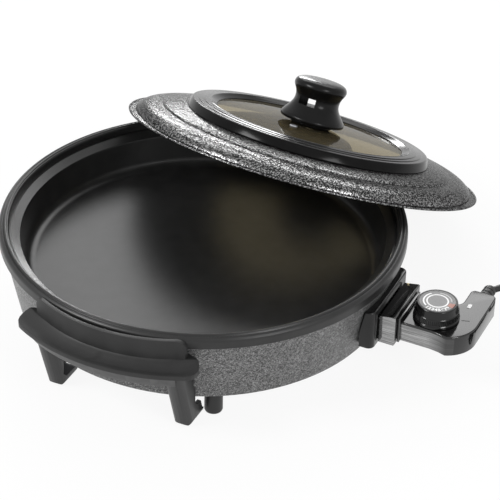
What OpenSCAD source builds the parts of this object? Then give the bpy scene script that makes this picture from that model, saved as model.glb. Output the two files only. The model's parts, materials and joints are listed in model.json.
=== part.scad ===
// Round electric pizza pan with a loose domed lid and a plug-in thermostat.
// Millimetres. The origin is the centre of the pan's cooking floor, +Z points up
// out of the pan, the thermostat plugs in on +X and the handles are on -Y and +Y.

/* [Pan] */
// Outside diameter of the smooth band round the rim
band_d = 420; // [400:1:440]
// Height of the rim crease above the cooking floor
pan_depth = 47; // [40:1:60]
// Thickness of the cast side wall
pan_wall = 4; // [3:0.5:5]
// Thickness of the cast floor
floor_t = 5; // [4:0.5:7]
// Height of the smooth band
band_h = 11.5; // [9:0.5:14]
// Radius of the corner between floor and wall
floor_fillet = 10; // [6:1:14]
// Depth of the recess that takes the lid
recess_depth = 7.5; // [5:0.5:10]

/* [Outer skirt and base] */
// Radius of the skirt at its bottom edge
skirt_base_r = 193.5; // [188:0.5:198]
// Depth of the skirt below the cooking floor
skirt_drop = 34.2; // [32:0.2:42]
// Sheet thickness of the skirt
skirt_t = 1.5; // [1:0.1:2]
// Width of the turned-in hem
hem_w = 10; // [8:0.5:12]
// Sheet thickness of the base plate
base_t = 1.2; // [1:0.1:2]
// Sheet thickness of the heat shield
shield_t = 1; // [0.6:0.1:1.5]
// Depth of the heat shield below the cooking floor
shield_drop = 19; // [17:0.5:22]
// Clearance under the skirt, from its bottom edge to the table
ground_gap = 30.8; // [24:0.2:36]

/* [Heating element] */
// Radius of the heating ring
ring_r = 120; // [100:1:135]
// Diameter of the heating tube
tube_d = 7; // [6:0.5:8]
// Distance between the two contact pins
pin_pitch = 38; // [34:1:42]
// Diameter of a contact pin
pin_d = 5; // [4:0.5:6]

/* [Handles] */
// Radius of the upright guard, seen from above
guard_r = 163.3; // [155:0.1:175]
// Distance from the pan's axis to the middle of the guard
guard_reach = 220; // [218:0.5:226]
// Thickness of the guard
guard_t = 4; // [3:0.5:5]
// Distance from the pan's axis to the grip's outer edge
grip_reach = 237.5; // [232:0.5:246]
// Radius of the grip's outer edge, seen from above
grip_r = 195; // [180:1:215]
// Half length of the grip
grip_half = 97; // [92:1:104]
// Thickness of the grip's edge
grip_t = 5; // [4:0.5:7]
// Half distance between the legs of one handle
leg_gap_half = 60.5; // [56:0.5:64]
// Width of one leg
leg_w = 21; // [20.5:0.5:24]
// How far the legs' runners reach in from the pan's axis
runner_y = 160; // [156:1:164]

/* [Lid] */
// Radius of the lid's brim
lid_r = 198; // [190:0.5:200]
// Sheet thickness of the lid
lid_t = 1; // [0.8:0.1:1.5]
// Outside radius of the plastic ring round the glass
glass_ring_r = 137; // [130:0.5:142]
// Radius of the glass disc
glass_r = 113; // [105:0.5:118]
// Thickness of the glass
glass_t = 3.5; // [3:0.5:5]
// Height of the glass disc's crown above its edge
glass_crown = 4; // [3:0.5:6]
// Radius of the knob's cap
knob_r = 29.3; // [26:0.1:32]
// Lean of the lid where it is propped
lid_tilt = 24.4; // [22:0.1:26]
// Direction in which the propped lid leans, from +X
lid_dir = 80.3; // [76:0.1:84]
// Centre of the propped lid's brim along X
lid_x = 24.4; // [20:0.1:30]
// Centre of the propped lid's brim along Y
lid_y = 194.3; // [190:0.1:200]
// Height of the centre of the propped lid's brim
lid_z = 28.9; // [25:0.1:32]

/* [Thermostat plug] */
// Width of the plug's collar
collar_w = 65; // [60:1:70]
// Height of the plug's collar
collar_h = 34; // [30:1:38]
// Height of the thermostat's housing
housing_h = 22; // [19:0.5:26]
// Wall of the thermostat's housing
housing_wall = 2; // [1.6:0.1:2.6]
// Diameter of the temperature probe
probe_d = 8; // [6:0.5:9]
// Diameter of the dial's knurled skirt
dial_d = 44.8; // [40:0.2:48]
// Height of the dial
dial_h = 17; // [14:0.5:20]

/* [Cord] */
// Diameter of the mains cord
cord_d = 7; // [6:0.5:8]

/* [Hidden] */
$fn = 96;

seat = 0.15;   // clearance of pieces that seat in one another
slip = 0.3;    // clearance of pieces that move past one another
run_fit = 0.08;  // radial clearance of a turning shaft

// ---- helpers ----
function arc(cx, cy, r, a0, a1, n = 12) =
    [for (i = [0:n]) [cx + r * cos(a0 + (a1 - a0) * i / n), cy + r * sin(a0 + (a1 - a0) * i / n)]];

module round_rect(w, h, r) {
    square([w - 2 * r, h], center = true);
    square([w, h - 2 * r], center = true);
    for (x = [-1, 1], y = [-1, 1])
        translate([x * (w / 2 - r), y * (h / 2 - r)]) circle(r = r, $fn = 32);
}

// turned body of a closed outline of [radius, height] points
module turned(points, angle = 360) { rotate_extrude(angle = angle, $fn = 180) polygon(points); }

// round rod along +X, +Y or +Z from the origin
module rod_x(d, l) { rotate([0, 90, 0]) cylinder(d = d, h = l, $fn = 40); }
module rod_y(d, l) { rotate([-90, 0, 0]) cylinder(d = d, h = l, $fn = 40); }
module rod_z(d, l) { cylinder(d = d, h = l, $fn = 40); }

// pan-head screw standing on z = 0, shank pointing down
module screw(d, l, head_d, head_h) {
    difference() {
        rod_z(head_d, head_h);
        translate([0, 0, head_h - 0.8]) for (a = [0, 90]) rotate(a)
            translate([-head_d / 2 + 1, -0.4, 0]) cube([head_d - 2, 0.8, 1]);
    }
    translate([0, 0, -l]) rod_z(d, l + 0.1);
}

// the same piece turned half round, on the +Y side
module at_rear() { rotate(180) children(); }

// ---- heights and radii that several pieces share ----
crease_z = pan_depth;
lip_z = crease_z + 1.8;
band_bottom = crease_z - band_h;
ledge_z = crease_z - recess_depth;
hem_z = -skirt_drop;
table_z = hem_z - ground_gap;
recess_r = lid_r + 1.2;
band_r = band_d / 2;
skirt_top = band_bottom + 3;
skirt_top_r = band_r - 3;
function skirt_out(z) = skirt_base_r + (skirt_top_r - skirt_base_r) * (z - hem_z) / (skirt_top - hem_z);
function skirt_in(z) = skirt_out(z) - skirt_t;

base_r = skirt_in(hem_z + skirt_t) - slip;
base_top = hem_z + skirt_t + base_t;
shield_top = -shield_drop;
pin_z = -9.5;
tube_z = -floor_t - tube_d / 2;
inner_top_r = band_r - 22;   // inside of the pan's wall under the rim
inner_low_r = inner_top_r - 5;   // and where the wall meets the floor
boss_r = 150;
boss_angles = [45, 135, 225, 315];
clip_angles = [40, 90, 180, 270, 320];
clip_reach = 15;
clip_t = 1.5;

// ================= pan, skirt and base =================
module pan() color("#2b2b2d") {
    fillet_c = [inner_low_r - floor_fillet + 1, floor_fillet];
    difference() {
        union() {
            turned(concat(
                [[0, -floor_t], [inner_low_r - 9, -floor_t]],
                arc(inner_low_r - 9, 9 - floor_t + 1, 10 + pan_wall - 1 - 3, -90, -8, 8),
                [[inner_top_r + pan_wall, crease_z - 18], [skirt_top_r - 10, crease_z - 14.5],
                 [skirt_top_r - skirt_t - 2, crease_z - 13.5], [skirt_top_r - skirt_t - 2, skirt_top],
                 [skirt_top_r + seat, skirt_top], [skirt_top_r + seat, band_bottom], [band_r - 0.6,
                     band_bottom],
                 [band_r, band_bottom + 0.6]],
                arc(band_r - 5, crease_z - 4, 5, 0, 75, 6),
                [[band_r - 5, crease_z]],
                arc(band_r - 7.2, crease_z, 1.8, 20, 160, 6),
                [[recess_r + 1.2, crease_z + 0.4], [recess_r, crease_z - 1.2], [recess_r, ledge_z],
                 [recess_r - 2.7, ledge_z], [inner_top_r + 0.5, crease_z - 12], [inner_top_r,
                     crease_z - 13.5]],
                arc(fillet_c[0], fillet_c[1], floor_fillet, -6, -90, 10),
                [[0, 0]]));
            // channel for the heating tube, bosses for clips and base
            translate([0, 0, -floor_t - 3]) for (r = [ring_r - tube_d / 2 - 2 - seat,
                ring_r + tube_d / 2 + seat])
                difference() { cylinder(r = r + 2, h = 3.1); translate([0, 0, -1]) cylinder(r = r, h = 6);
                    translate([0, -34, -1]) cube([ring_r + 20, 68, 6]); }
            for (a = clip_angles, s = [-1, 1]) rotate(a)
                translate([ring_r + s * clip_reach, 0, -floor_t - tube_d]) rod_z(8, tube_d + 0.5);
            for (a = boss_angles) rotate(a) translate([boss_r, 0, shield_top]) rod_z(12,
                shield_drop - floor_t + 0.5);
            // guide for the probe
            translate([ring_r - 14, -8, pin_z - 6]) cube([inner_low_r - 10 - ring_r + 14, 16,
                6 - pin_z - floor_t + 0.5]);
        }
        for (a = clip_angles, s = [-1, 1]) rotate(a)
            translate([ring_r + s * clip_reach, 0, -floor_t - tube_d - 1]) rod_z(3.2, 8);
        for (a = boss_angles) rotate(a) translate([boss_r, 0, shield_top - 1]) rod_z(4.2, 14);
        translate([ring_r - 6, 0, pin_z]) rod_x(probe_d + 2 * slip, 80);
        for (s = [-1, 1]) translate([ring_r - 20, s * pin_pitch / 2, 0])
            translate([0, -tube_d / 2 - seat, tube_z - 6]) cube([90, tube_d + 2 * seat,
                -floor_t - tube_z + 6]);
    }
}

module outer_skirt() color("#202124") {
    hem = hem_w;
    difference() {
        turned([[skirt_base_r - hem, hem_z], [skirt_base_r - 1, hem_z], [skirt_base_r, hem_z + 1],
            [skirt_top_r, skirt_top], [skirt_top_r - skirt_t, skirt_top],
            [skirt_in(hem_z + skirt_t), hem_z + skirt_t], [skirt_base_r - hem, hem_z + skirt_t]]);
        translate([inner_low_r, -window_w / 2, window_z[0]])
            cube([40, window_w, window_z[1] - window_z[0]]);
        for (s = [-1, 1]) rotate(s * shroud_screw_a) translate([inner_low_r, 0, shroud_screw_z])
            rod_x(4.4, 40);
        for (h = [-90, 90], s = [-1, 1]) rotate(h + s * handle_screw_a)
            translate([inner_low_r, 0, handle_screw_z]) rod_x(5.4, 40);
    }
}

module base_plate() color("#8c8e90") difference() {
    translate([0, 0, hem_z + skirt_t]) cylinder(r = base_r, h = base_t, $fn = 180);
    for (a = boss_angles) rotate(a) translate([boss_r, 0, hem_z]) rod_z(4.4, 6);
    // cooling slots in three rings
    for (a = [0:30:330]) rotate(a + 15) translate([60, 0, hem_z]) {
        translate([0, -2, 0]) cube([22, 4, 6]);
        rod_z(4, 6);
        translate([22, 0, 0]) rod_z(4, 6);
    }
    for (x = [-1, 1], y = [-1, 1]) translate([x * foot_x, y * foot_y, hem_z]) rod_z(4.4, 6);
}

module heat_shield() color("#b9bbbd") difference() {
    union() {
        translate([0, 0, shield_top - shield_t]) cylinder(r = boss_r + 12, h = shield_t, $fn = 180);
        translate([0, 0, shield_top - shield_t]) turned([[boss_r + 11, 0], [boss_r + 12, 0],
            [boss_r + 12, -4], [boss_r + 11, -4]]);
    }
    for (a = boss_angles) rotate(a) translate([boss_r, 0, shield_top - 5]) rod_z(4.4, 10);
}

module shield_spacers() color("#c2c4c6") for (a = boss_angles) rotate(a)
    translate([boss_r, 0, base_top]) difference() {
        rod_z(9, shield_top - shield_t - base_top);
        translate([0, 0, -1]) rod_z(4.4, 20);
    }

module base_screws() color("#c8cacc") for (a = boss_angles) rotate(a)
    translate([boss_r, 0, hem_z + skirt_t]) mirror([0, 0, 1])
        screw(4, skirt_drop - shield_drop + 7, 8, 2.4);

foot_x = 87.5;
foot_y = 150.2;
foot_r = 9.2;
module base_feet() color("#1c1c1e") for (x = [-1, 1], y = [-1, 1])
    translate([x * foot_x, y * foot_y, 0]) difference() {
        turned([[0, table_z], [foot_r - 2, table_z], [foot_r - 0.6, table_z + 0.6], [foot_r, table_z + 2],
            [foot_r, hem_z + skirt_t], [0, hem_z + skirt_t]]);
        translate([0, 0, hem_z - 14]) rod_z(3.2, 20);
    }

// ================= heating element and socket =================
bend_r = 22;
bend_y = pin_pitch / 2 + bend_r;
bend_x = sqrt(pow(ring_r + bend_r, 2) - bend_y * bend_y);
bend_a = atan2(bend_y, bend_x);
pin_start = 182;
pin_end = 206;
window_w = 62;
window_z = [-17, 8];
shroud_screw_a = 11;
shroud_screw_z = -14;
handle_screw_a = 21.2;
handle_screw_z = -8;

module heating_element() color("#6b6d70") {
    translate([0, 0, tube_z]) {
        rotate(bend_a) rotate_extrude(angle = 360 - 2 * bend_a, $fn = 96)
            translate([ring_r, 0]) circle(d = tube_d, $fn = 20);
        for (s = [0, 1]) mirror([0, s, 0]) {
            translate([bend_x, bend_y, 0]) rotate(180 + bend_a)
                rotate_extrude(angle = 90 - bend_a, $fn = 72) translate([bend_r, 0]) circle(d = tube_d,
                    $fn = 20);
            translate([bend_x, pin_pitch / 2, 0]) rotate([0, 90, 0]) cylinder(d = tube_d,
                h = pin_start - bend_x, $fn = 20);
        }
    }
    for (s = [-1, 1]) translate([pin_start - 4, s * pin_pitch / 2, pin_z]) {
        rod_x(pin_d, pin_end - pin_start + 4);
        translate([pin_end - pin_start + 4, 0, 0]) rotate([0, 90, 0]) cylinder(d1 = pin_d,
            d2 = pin_d - 2, h = 1.5, $fn = 40);
    }
}

module element_clips() color("#a9abad") for (a = clip_angles) rotate(a)
    translate([ring_r, 0, -floor_t - tube_d]) difference() {
        translate([-clip_reach - 5, -5, -clip_t]) cube([2 * clip_reach + 10, 10, clip_t]);
        for (s = [-1, 1]) translate([s * clip_reach, 0, -clip_t - 1]) rod_z(3.6, 5);
    }

module clip_screws() color("#c8cacc") for (a = clip_angles, s = [-1, 1]) rotate(a)
    translate([ring_r + s * clip_reach, 0, -floor_t - tube_d - clip_t]) mirror([0, 0, 1]) screw(3, 7, 6,
        1.8);

module terminal_plate() color("#b4b6b8") difference() {
    rotate(-14) rotate_extrude(angle = 28, $fn = 180) polygon([
        [skirt_in(window_z[0] - 4) - 1.6, window_z[0] - 4], [skirt_in(window_z[0] - 4) - 0.1,
            window_z[0] - 4],
        [skirt_in(window_z[1] + 4) - 0.1, window_z[1] + 4], [skirt_in(window_z[1] + 4) - 1.6,
            window_z[1] + 4]]);
    for (s = [-1, 1]) translate([inner_low_r, s * pin_pitch / 2, pin_z]) rod_x(bush_d + 2 * seat, 40);
    translate([inner_low_r, 0, pin_z]) rod_x(probe_d + 4, 40);
    for (s = [-1, 1]) rotate(s * shroud_screw_a) translate([inner_low_r, 0, shroud_screw_z]) rod_x(4.4, 40);
}

bush_d = 11;
module pin_bushes() color("#e9e4d8") for (s = [-1, 1]) translate([0, s * pin_pitch / 2, pin_z])
    difference() {
    union() {
        translate([inner_top_r, 0, 0]) rod_x(bush_d, 11);
        translate([inner_top_r, 0, 0]) rod_x(bush_d + 4, 3.5);
    }
    translate([inner_low_r - 3, 0, 0]) rod_x(pin_d + 0.02, 40);
}

shroud_front = band_r;
shroud_half = 45;
shroud_z = [-21.5, 22];
cavity_half = 30;
cavity_z = [-17, 8];
module socket_shroud() color("#151517") difference() {
    translate([0, 0, shroud_z[0]]) linear_extrude(shroud_z[1] - shroud_z[0]) difference() {
        union() {
            translate([inner_low_r, 7 - shroud_half]) square([shroud_front - inner_low_r,
                2 * shroud_half - 14]);
            translate([shroud_front - 14.5, -shroud_half]) square([7.5, 2 * shroud_half]);
            for (s = [-1, 1]) translate([shroud_front - 7, s * (shroud_half - 7)]) circle(r = 7, $fn = 48);
        }
    }
    turned([[0, shroud_z[0] - 1], [skirt_out(shroud_z[0] - 1) + 0.1, shroud_z[0] - 1],
        [skirt_out(shroud_z[1] + 1) + 0.1, shroud_z[1] + 1], [0, shroud_z[1] + 1]]);
    translate([inner_low_r, -cavity_half, cavity_z[0]]) cube([60, 2 * cavity_half,
        cavity_z[1] - cavity_z[0]]);
    for (s = [-1, 1]) rotate(s * shroud_screw_a) translate([inner_low_r, 0, shroud_screw_z]) rod_x(3.2, 24);
}

module shroud_screws() color("#c8cacc") for (s = [-1, 1]) rotate(s * shroud_screw_a)
    translate([skirt_in(shroud_screw_z) - 2.4, 0, shroud_screw_z]) rotate([0, -90, 0]) screw(3, 11, 6, 1.6);

// ================= handles =================
guard_c = guard_r - guard_reach;
grip_c = grip_r - grip_reach;
guard_half = 81;
guard_top = crease_z + 1;
grip_top_in = crease_z - 20;
grip_top_out = crease_z - 26;
grip_bottom = grip_top_out - grip_t;
tip_r = 13.25;
tip_x = grip_half - tip_r;
tip_y = grip_c - sqrt(pow(grip_r - tip_r, 2) - tip_x * tip_x);
apron_bottom = crease_z - 47;
apron_half = 79;
apron_t = 3.5;
leg_x = [leg_gap_half, leg_gap_half + leg_w];
leg_front = [[-214, grip_bottom + 2], [-209.5, crease_z - 46], [-205.5, crease_z - 60],
    [-200.3, crease_z - 75], [-194.6, crease_z - 93]];
leg_tilt = 17;
leg_round = 8;
leg_nose = 10;   // rounding of the post's front

// outline of the grip seen from above
module grip_plan() {
    tip_a = atan2(tip_y - grip_c, tip_x);
    polygon(concat(arc(0, grip_c, grip_r, -180 - tip_a, tip_a, 24),
        arc(tip_x, tip_y, tip_r, tip_a, 90, 8), [[0, -150]], arc(-tip_x, tip_y, tip_r, 90, 180 - tip_a,
            8)));
}

// everything inside the skirt's outer face, grown by gap
module skirt_space(gap) {
    turned([[0, hem_z - gap], [skirt_base_r + gap, hem_z - gap], [skirt_top_r + gap - 0.6, band_bottom],
        [0, band_bottom]]);
}

module handle() difference() {
    union() {
        // upright guard
        intersection() {
            translate([0, guard_c, grip_bottom + 2]) difference() {
                cylinder(r = guard_r, h = guard_top, $fn = 240);
                translate([0, 0, -1]) cylinder(r = guard_r - guard_t, h = 90, $fn = 240);
            }
            translate([0, -150, guard_top / 2]) rotate([90, 0, 0])
                linear_extrude(90) round_rect(2 * guard_half, guard_top, 10);
        }
        // grip with its hollowed top
        intersection() {
            translate([0, 0, grip_bottom]) linear_extrude(40) grip_plan();
            translate([0, grip_c, 0]) turned(concat([[140, grip_bottom], [grip_r - 1, grip_bottom],
                [grip_r + 5, grip_bottom + 2], [grip_r + 5, grip_top_out]],
                [for (i = [0:6]) let (u = i / 6) [grip_r - 18.7 * u, grip_top_out
                    + (grip_top_in - grip_top_out) * u * u]], [[140, grip_top_in]]));
        }
        // sloping apron below the grip
        translate([0, grip_c, 0]) rotate(-90 - asin(apron_half / (grip_r - 5)))
            rotate_extrude(angle = 2 * asin(apron_half / (grip_r - 5)), $fn = 240)
            polygon([[grip_r - 1.5, grip_bottom + 1], [grip_r - 11.5, apron_bottom],
                [grip_r - 11.5 - apron_t, apron_bottom], [grip_r - 1.5 - apron_t - 1, grip_bottom + 1]]);
        for (s = [0, 1]) mirror([s, 0, 0]) leg();
    }
    skirt_space(seat);
    for (s = [-1, 1]) rotate(-90 + s * handle_screw_a)
        translate([inner_low_r, 0, handle_screw_z]) rod_x(4, 30);
}

// side view of a leg; the hole behind its post reaches down to floor_h above the table
module leg_side(post_back, floor_h) polygon(concat(
    leg_front, arc(-179.7, table_z + 14, 14, 180, 270, 8),
    arc(-runner_y - 6, table_z + 6, 6, 270, 360, 6),
    [[-runner_y, table_z + 8], [-runner_y - 3, table_z + 10], [-runner_y - 6, table_z + floor_h],
     [post_back + 5, table_z + floor_h], [post_back, table_z + floor_h + 5], [post_back, -22],
     [-183, -15], [-176, -14], [-176, grip_bottom + 2]]));

module leg() intersection() {
    translate([0, -120, 0]) rotate([90, 0, 0]) linear_extrude(120) polygon(concat(
        arc(leg_x[0] + leg_round, table_z + leg_round, leg_round, 180, 270, 8),
        arc(leg_x[1] - leg_round, table_z + leg_round, leg_round, 270, 360, 8),
        [[leg_x[1] + 0.1, 40], [leg_x[0] - 0.1, 40]]));
    union() {
        translate([leg_x[0] - 1, 0, 0]) rotate([90, 0, 90]) linear_extrude(leg_w + 2) leg_side(-186.5, 11);
        translate([leg_x[1] - 4, 0, 0]) rotate([90, 0, 90]) linear_extrude(6) leg_side(-178, 20);
    }
    translate([0, -213, grip_bottom]) rotate([leg_tilt, 0, 0]) translate([0, 0, -150]) linear_extrude(200) {
        translate([leg_x[0] + leg_nose, 0]) square([leg_w - 2 * leg_nose, 120]);
        translate([leg_x[0], leg_nose]) square([leg_w, 120]);
        for (x = [leg_x[0] + leg_nose, leg_x[1] - leg_nose]) translate([x, leg_nose])
            circle(r = leg_nose, $fn = 72);
    }
}

module front_handle() color("#333436") handle();
module rear_handle() color("#333436") at_rear() handle();

module on_handle_screws(r) for (h = [-90, 90], s = [-1, 1]) rotate(h + s * handle_screw_a)
    translate([r, 0, handle_screw_z]) children();

washer_t = 1.5;
module handle_washers() color("#c2c4c6") intersection() {
    on_handle_screws(skirt_in(handle_screw_z) - washer_t - 0.8) difference() {
        rod_x(12, 6);
        translate([-1, 0, 0]) rod_x(4.6, 8);
    }
    turned([[0, -20], [skirt_in(-20) - 0.05, -20], [skirt_in(4) - 0.05, 4], [0, 4]]);
}

module handle_screws() color("#c8cacc") on_handle_screws(skirt_in(handle_screw_z) - washer_t - 0.85)
    rotate([0, -90, 0]) screw(3.9, 16, 8, 2.2);

// ================= lid, drawn flat with its brim on z = 0 =================
// places a piece of the lid where the lid is propped
module on_lid() translate([lid_x, lid_y, lid_z]) rotate([0, lid_tilt, lid_dir]) children();

brim_w = 7.5;
brim_t = 1.6;
ring_foot_h = 20.1;
glass_edge_h = 27;
glass_top = glass_edge_h + glass_crown;
glass_sphere = (glass_r * glass_r + glass_crown * glass_crown) / (2 * glass_crown);
dome_c = [lid_r - 32, 0.6];
dome_w = 24;
dome_h = 13;
function glass_h(r) = glass_top - glass_sphere + sqrt(glass_sphere * glass_sphere - r * r);
function lid_wall(t) = concat(
    [for (i = [0:10]) [dome_c[0] + (dome_w - t) * cos(3 + 8.5 * i),
        dome_c[1] + (dome_h - t) * sin(3 + 8.5 * i)]],
    [[162.6 - t / 2, 14.2 - t], [160.8 - t / 2, 16.3 - t], [glass_ring_r - 1, ring_foot_h - t],
     [glass_r + 6, ring_foot_h + 2.6 - t], [glass_r + 5 - t / 2, glass_edge_h - 5.8 - t]]);
function reversed(v) = [for (i = [len(v) - 1:-1:0]) v[i]];

module lid_dome() color("#26272a") on_lid() turned(concat(
    [[lid_r - brim_w, -brim_t / 2], [lid_r - 0.8, -brim_t / 2], [lid_r, 0], [lid_r, 0.9], [lid_r - 0.5,
        1.5],
     [lid_r - 1.5, 1.5], [lid_r - 2.2, brim_t / 2], [lid_r - 6, brim_t / 2]],
    lid_wall(0), [[glass_r - 6, glass_edge_h - 5.8], [glass_r - 6, glass_edge_h - 5.8 - lid_t]],
    reversed(lid_wall(lid_t))));

module lid_glass() color("#6b6544", 0.5) on_lid() difference() {
    turned(concat([for (i = [0:8]) [glass_r * i / 8, glass_h(glass_r * i / 8)]],
        [for (i = [8:-1:0]) [glass_r * i / 8, glass_h(glass_r * i / 8) - glass_t]]));
    translate([0, 0, glass_edge_h - 6]) rod_z(7, 20);
    rotate(vent_a) translate([vent_r, 0, 0]) rod_z(6, 60);
}

module glass_gasket() color("#3a3a38") on_lid() turned([[glass_r - 5.5, glass_edge_h - 5.8],
    [glass_r + 1.4, glass_edge_h - 5.8], [glass_r + 1.4, glass_edge_h - 0.2], [glass_r, glass_edge_h - 0.2],
    [glass_r, glass_edge_h - glass_t], [glass_r - 5.5, glass_h(glass_r - 5.5) - glass_t - 0.05]]);

ring_top = ring_foot_h + 9.85;
ring_step = 5.8;
ring_rise = 0.8;
ring_in = 105;
module glass_ring() color("#1b1b1d") on_lid() turned(concat(
    [[ring_in, glass_h(ring_in) + 0.1], [glass_r + 1.5, glass_edge_h + 0.1], [glass_r + 1.5,
        glass_edge_h - 5.7],
     [glass_r + 4.6, glass_edge_h - 5.7], [glass_r + 6, ring_foot_h + 2.7], [glass_ring_r - 0.3,
         ring_foot_h + 0.1],
     [glass_ring_r - 0.6, ring_foot_h + 1.4], [glass_ring_r - 3.2, ring_foot_h + 8.6],
     [glass_ring_r - 3.7, ring_foot_h + 9.4], [glass_ring_r - 4.6, ring_top]],
    [for (i = [0:1], j = [0, 1]) [glass_ring_r - 4.1 - ring_step * (i + 1) - 0.6 * j,
        ring_top + ring_rise * (i + j)]],
    [[glass_ring_r - 23.4, ring_top + 2 * ring_rise + 0.4], [glass_ring_r - 24.8, ring_top + 2 * ring_rise],
     [glass_ring_r - 26.2, ring_top + 0.6], [ring_in + 2, glass_h(ring_in) + 1.5], [ring_in,
         glass_h(ring_in) + 0.5]]));

vent_r = 40;
vent_a = 183;
module vent_eyelet() color("#d8dadc") on_lid() rotate(vent_a) translate([vent_r, 0,
    glass_h(vent_r) - glass_t])
    difference() {
        union() {
            translate([0, 0, -0.5]) rod_z(5.8, glass_t + 1);
            translate([0, 0, glass_t + 0.15]) cylinder(d1 = 9.5, d2 = 8, h = 1.1, $fn = 40);
            translate([0, 0, -0.95]) cylinder(d = 8.5, h = 0.8, $fn = 40);
        }
        translate([0, 0, -2]) rod_z(4, 10);
    }

collar_top = 40;
collar_r = 23.3;
module knob_collar() color("#17171a") on_lid() difference() {
    turned([[0, glass_top], [22.3, glass_h(22.3) + 0.05], [collar_r, glass_top + 1.2], [collar_r,
        collar_top - 1.6],
        [collar_r - 1.6, collar_top], [0, collar_top]]);
    translate([0, 0, glass_top - 1]) rod_z(5.4, 20);
}

knob_spin = -62;
module knob() color("#17171a") on_lid() difference() {
    turned([[0, collar_top + 0.05], [21.5, collar_top + 0.05], [22.6, 44.4], [25, 45.2], [29, 41.6],
        [33.2, 36.6], [34.4, 35.4], [35.5, 36.2], [35.6, 39.4], [35, 40.6], [33.4, 42.9], [30.3, 46.7],
            [27.4, 50.6], [25.2, 54.4], [24.9, 55],
        [24.9, 62], [25.3, 64.3], [26.5, 67.2], [28.2, 69.9], [29.1, 72.1], [knob_r, 74.2], [28.9, 76.4],
            [27.6, 78.6],
        [25.2, 80.3], [21, 81.5], [14, 82.2], [0, 82.5]]);
    translate([0, 0, collar_top - 1]) rod_z(5.1, 14);
    // openings through the neck
    rotate(knob_spin) {
        box([-19, -1], [-40, -1], [53.6, 62]);
        box([-9.5, -1], [-2, 40], [46.2, 62]);
    }
}

module knob_washer() color("#d8d6cf") on_lid() translate([0, 0, glass_top - glass_t - 1.1]) difference() {
    rod_z(16, 1.05);
    translate([0, 0, -1]) rod_z(5.4, 4);
}

module knob_screw() color("#c8cacc") on_lid() translate([0, 0, glass_top - glass_t - 1.15])
    mirror([0, 0, 1]) screw(5, 22, 9, 1.9);

// ================= plug-in thermostat =================
collar_x = [shroud_front + 1.2, shroud_front + 18];
flange_x = [collar_x[1] + 0.6, collar_x[1] + 3];
house_z = [-15, -15 + housing_h];
split_z = -1;
dial_x = flange_x[1] + 27.6;
tail_x = dial_x + 28.7;
tail_y = 61.5;
lens_x = [dial_x + 21.4, dial_x + 25.4];
lens_y = [28.5, 35.5];
body_y = [-24.1, 29];
block_x = [dial_x - 15.1, dial_x - 5.6];   // ceramic block of the switch
boss_at = [for (b = [[-19.6, -18], [-19.6, 22], [30.4, -8], [21.4, 46]]) [dial_x + b[0], b[1]]];

// outline of the housing seen from above, moved in by i
function housing_plan(i) = concat(
    [[flange_x[1] + i, body_y[0] + i], [dial_x + 3.4, body_y[0] - 0.2 + i],
     [dial_x + 13.4 - 0.2 * i, body_y[0] - 1.6 + i]],
    arc(dial_x + 8.9, 2.75, 33.1 - i, i - 68.4, 0, 12), arc(dial_x + 37, 56.5, 5 - i, 0, 90, 5),
    arc(dial_x + 20.4, 56.5, 5 - i, 90, 180, 5), arc(dial_x + 5.9, 38.5, 9.5 + i, 0, -90, 6),
        [[flange_x[1] + i, body_y[1] - i]]);

module box(x, y, z) translate([x[0], y[0], z[0]]) cube([x[1] - x[0], y[1] - y[0], z[1] - z[0]]);

socket_d = 9;
module plug_nose() color("#121214") difference() {
    union() {
        translate([0, collar_w / 2, 0]) rotate([90, 0, 0]) linear_extrude(collar_w) polygon([
            [collar_x[0], -18], [collar_x[1] - 1, -18], [collar_x[1], -17], [collar_x[1], collar_h - 19],
            [collar_x[1] - 1.2, collar_h - 18], [collar_x[0], collar_h - 20.8]]);
        box([shroud_front - 9.6, collar_x[0] + 1], [0.5 - cavity_half, cavity_half - 0.5],
            [cavity_z[0] + 0.4, cavity_z[1] - 0.4]);
        box([collar_x[1] - 1, flange_x[0] + 1], [-25, 25], [-14, 8]);
        box([flange_x[0], flange_x[1] - 0.05], [-27, 27], [-16, 11.5]);
    }
    for (s = [-1, 1]) translate([shroud_front - 20, s * pin_pitch / 2, pin_z]) rod_x(socket_d + 2 * seat,
        60);
    translate([shroud_front - 20, 0, pin_z]) rod_x(probe_d + 0.1, 60);
}

module pin_sockets() color("#b98d3f") for (s = [-1, 1]) translate([0, s * pin_pitch / 2, pin_z])
    difference() {
    translate([shroud_front - 9, 0, 0]) rod_x(socket_d, 33);
    translate([shroud_front - 10, 0, 0]) rod_x(pin_d + 2 * slip, 12);
}

module probe() color("#c9cbcd") translate([0, 0, pin_z]) {
    translate([ring_r + 5, 0, 0]) rod_x(probe_d, 118);
    translate([ring_r + 5, 0, 0]) sphere(d = probe_d, $fn = 40);
}

module boot_hole() translate([tail_x, tail_y - 6, split_z]) rod_y(9.2, 10);

module housing_base() color("#141416") difference() {
    union() {
        difference() {
            translate([0, 0, house_z[0]]) linear_extrude(split_z - house_z[0]) polygon(housing_plan(0));
            translate([0, 0, house_z[0] + housing_wall]) linear_extrude(40)
                polygon(housing_plan(housing_wall));
        }
        for (p = boss_at) translate([p[0], p[1], house_z[0] + 1]) rod_z(7, split_z - house_z[0] - 1);
    }
    for (p = boss_at) translate([p[0], p[1], house_z[0] - 1]) { rod_z(3.2, 30); rod_z(6.2, 4.2); }
    box([flange_x[1] - 1, dial_x - 23.6], [-23.9, 24], [pin_z - 4.6, split_z + 2]);
    box([dial_x - 24.6, block_x[0]], [-5, 5], [pin_z - 4.2, split_z + 2]);
    boot_hole();
}

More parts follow.
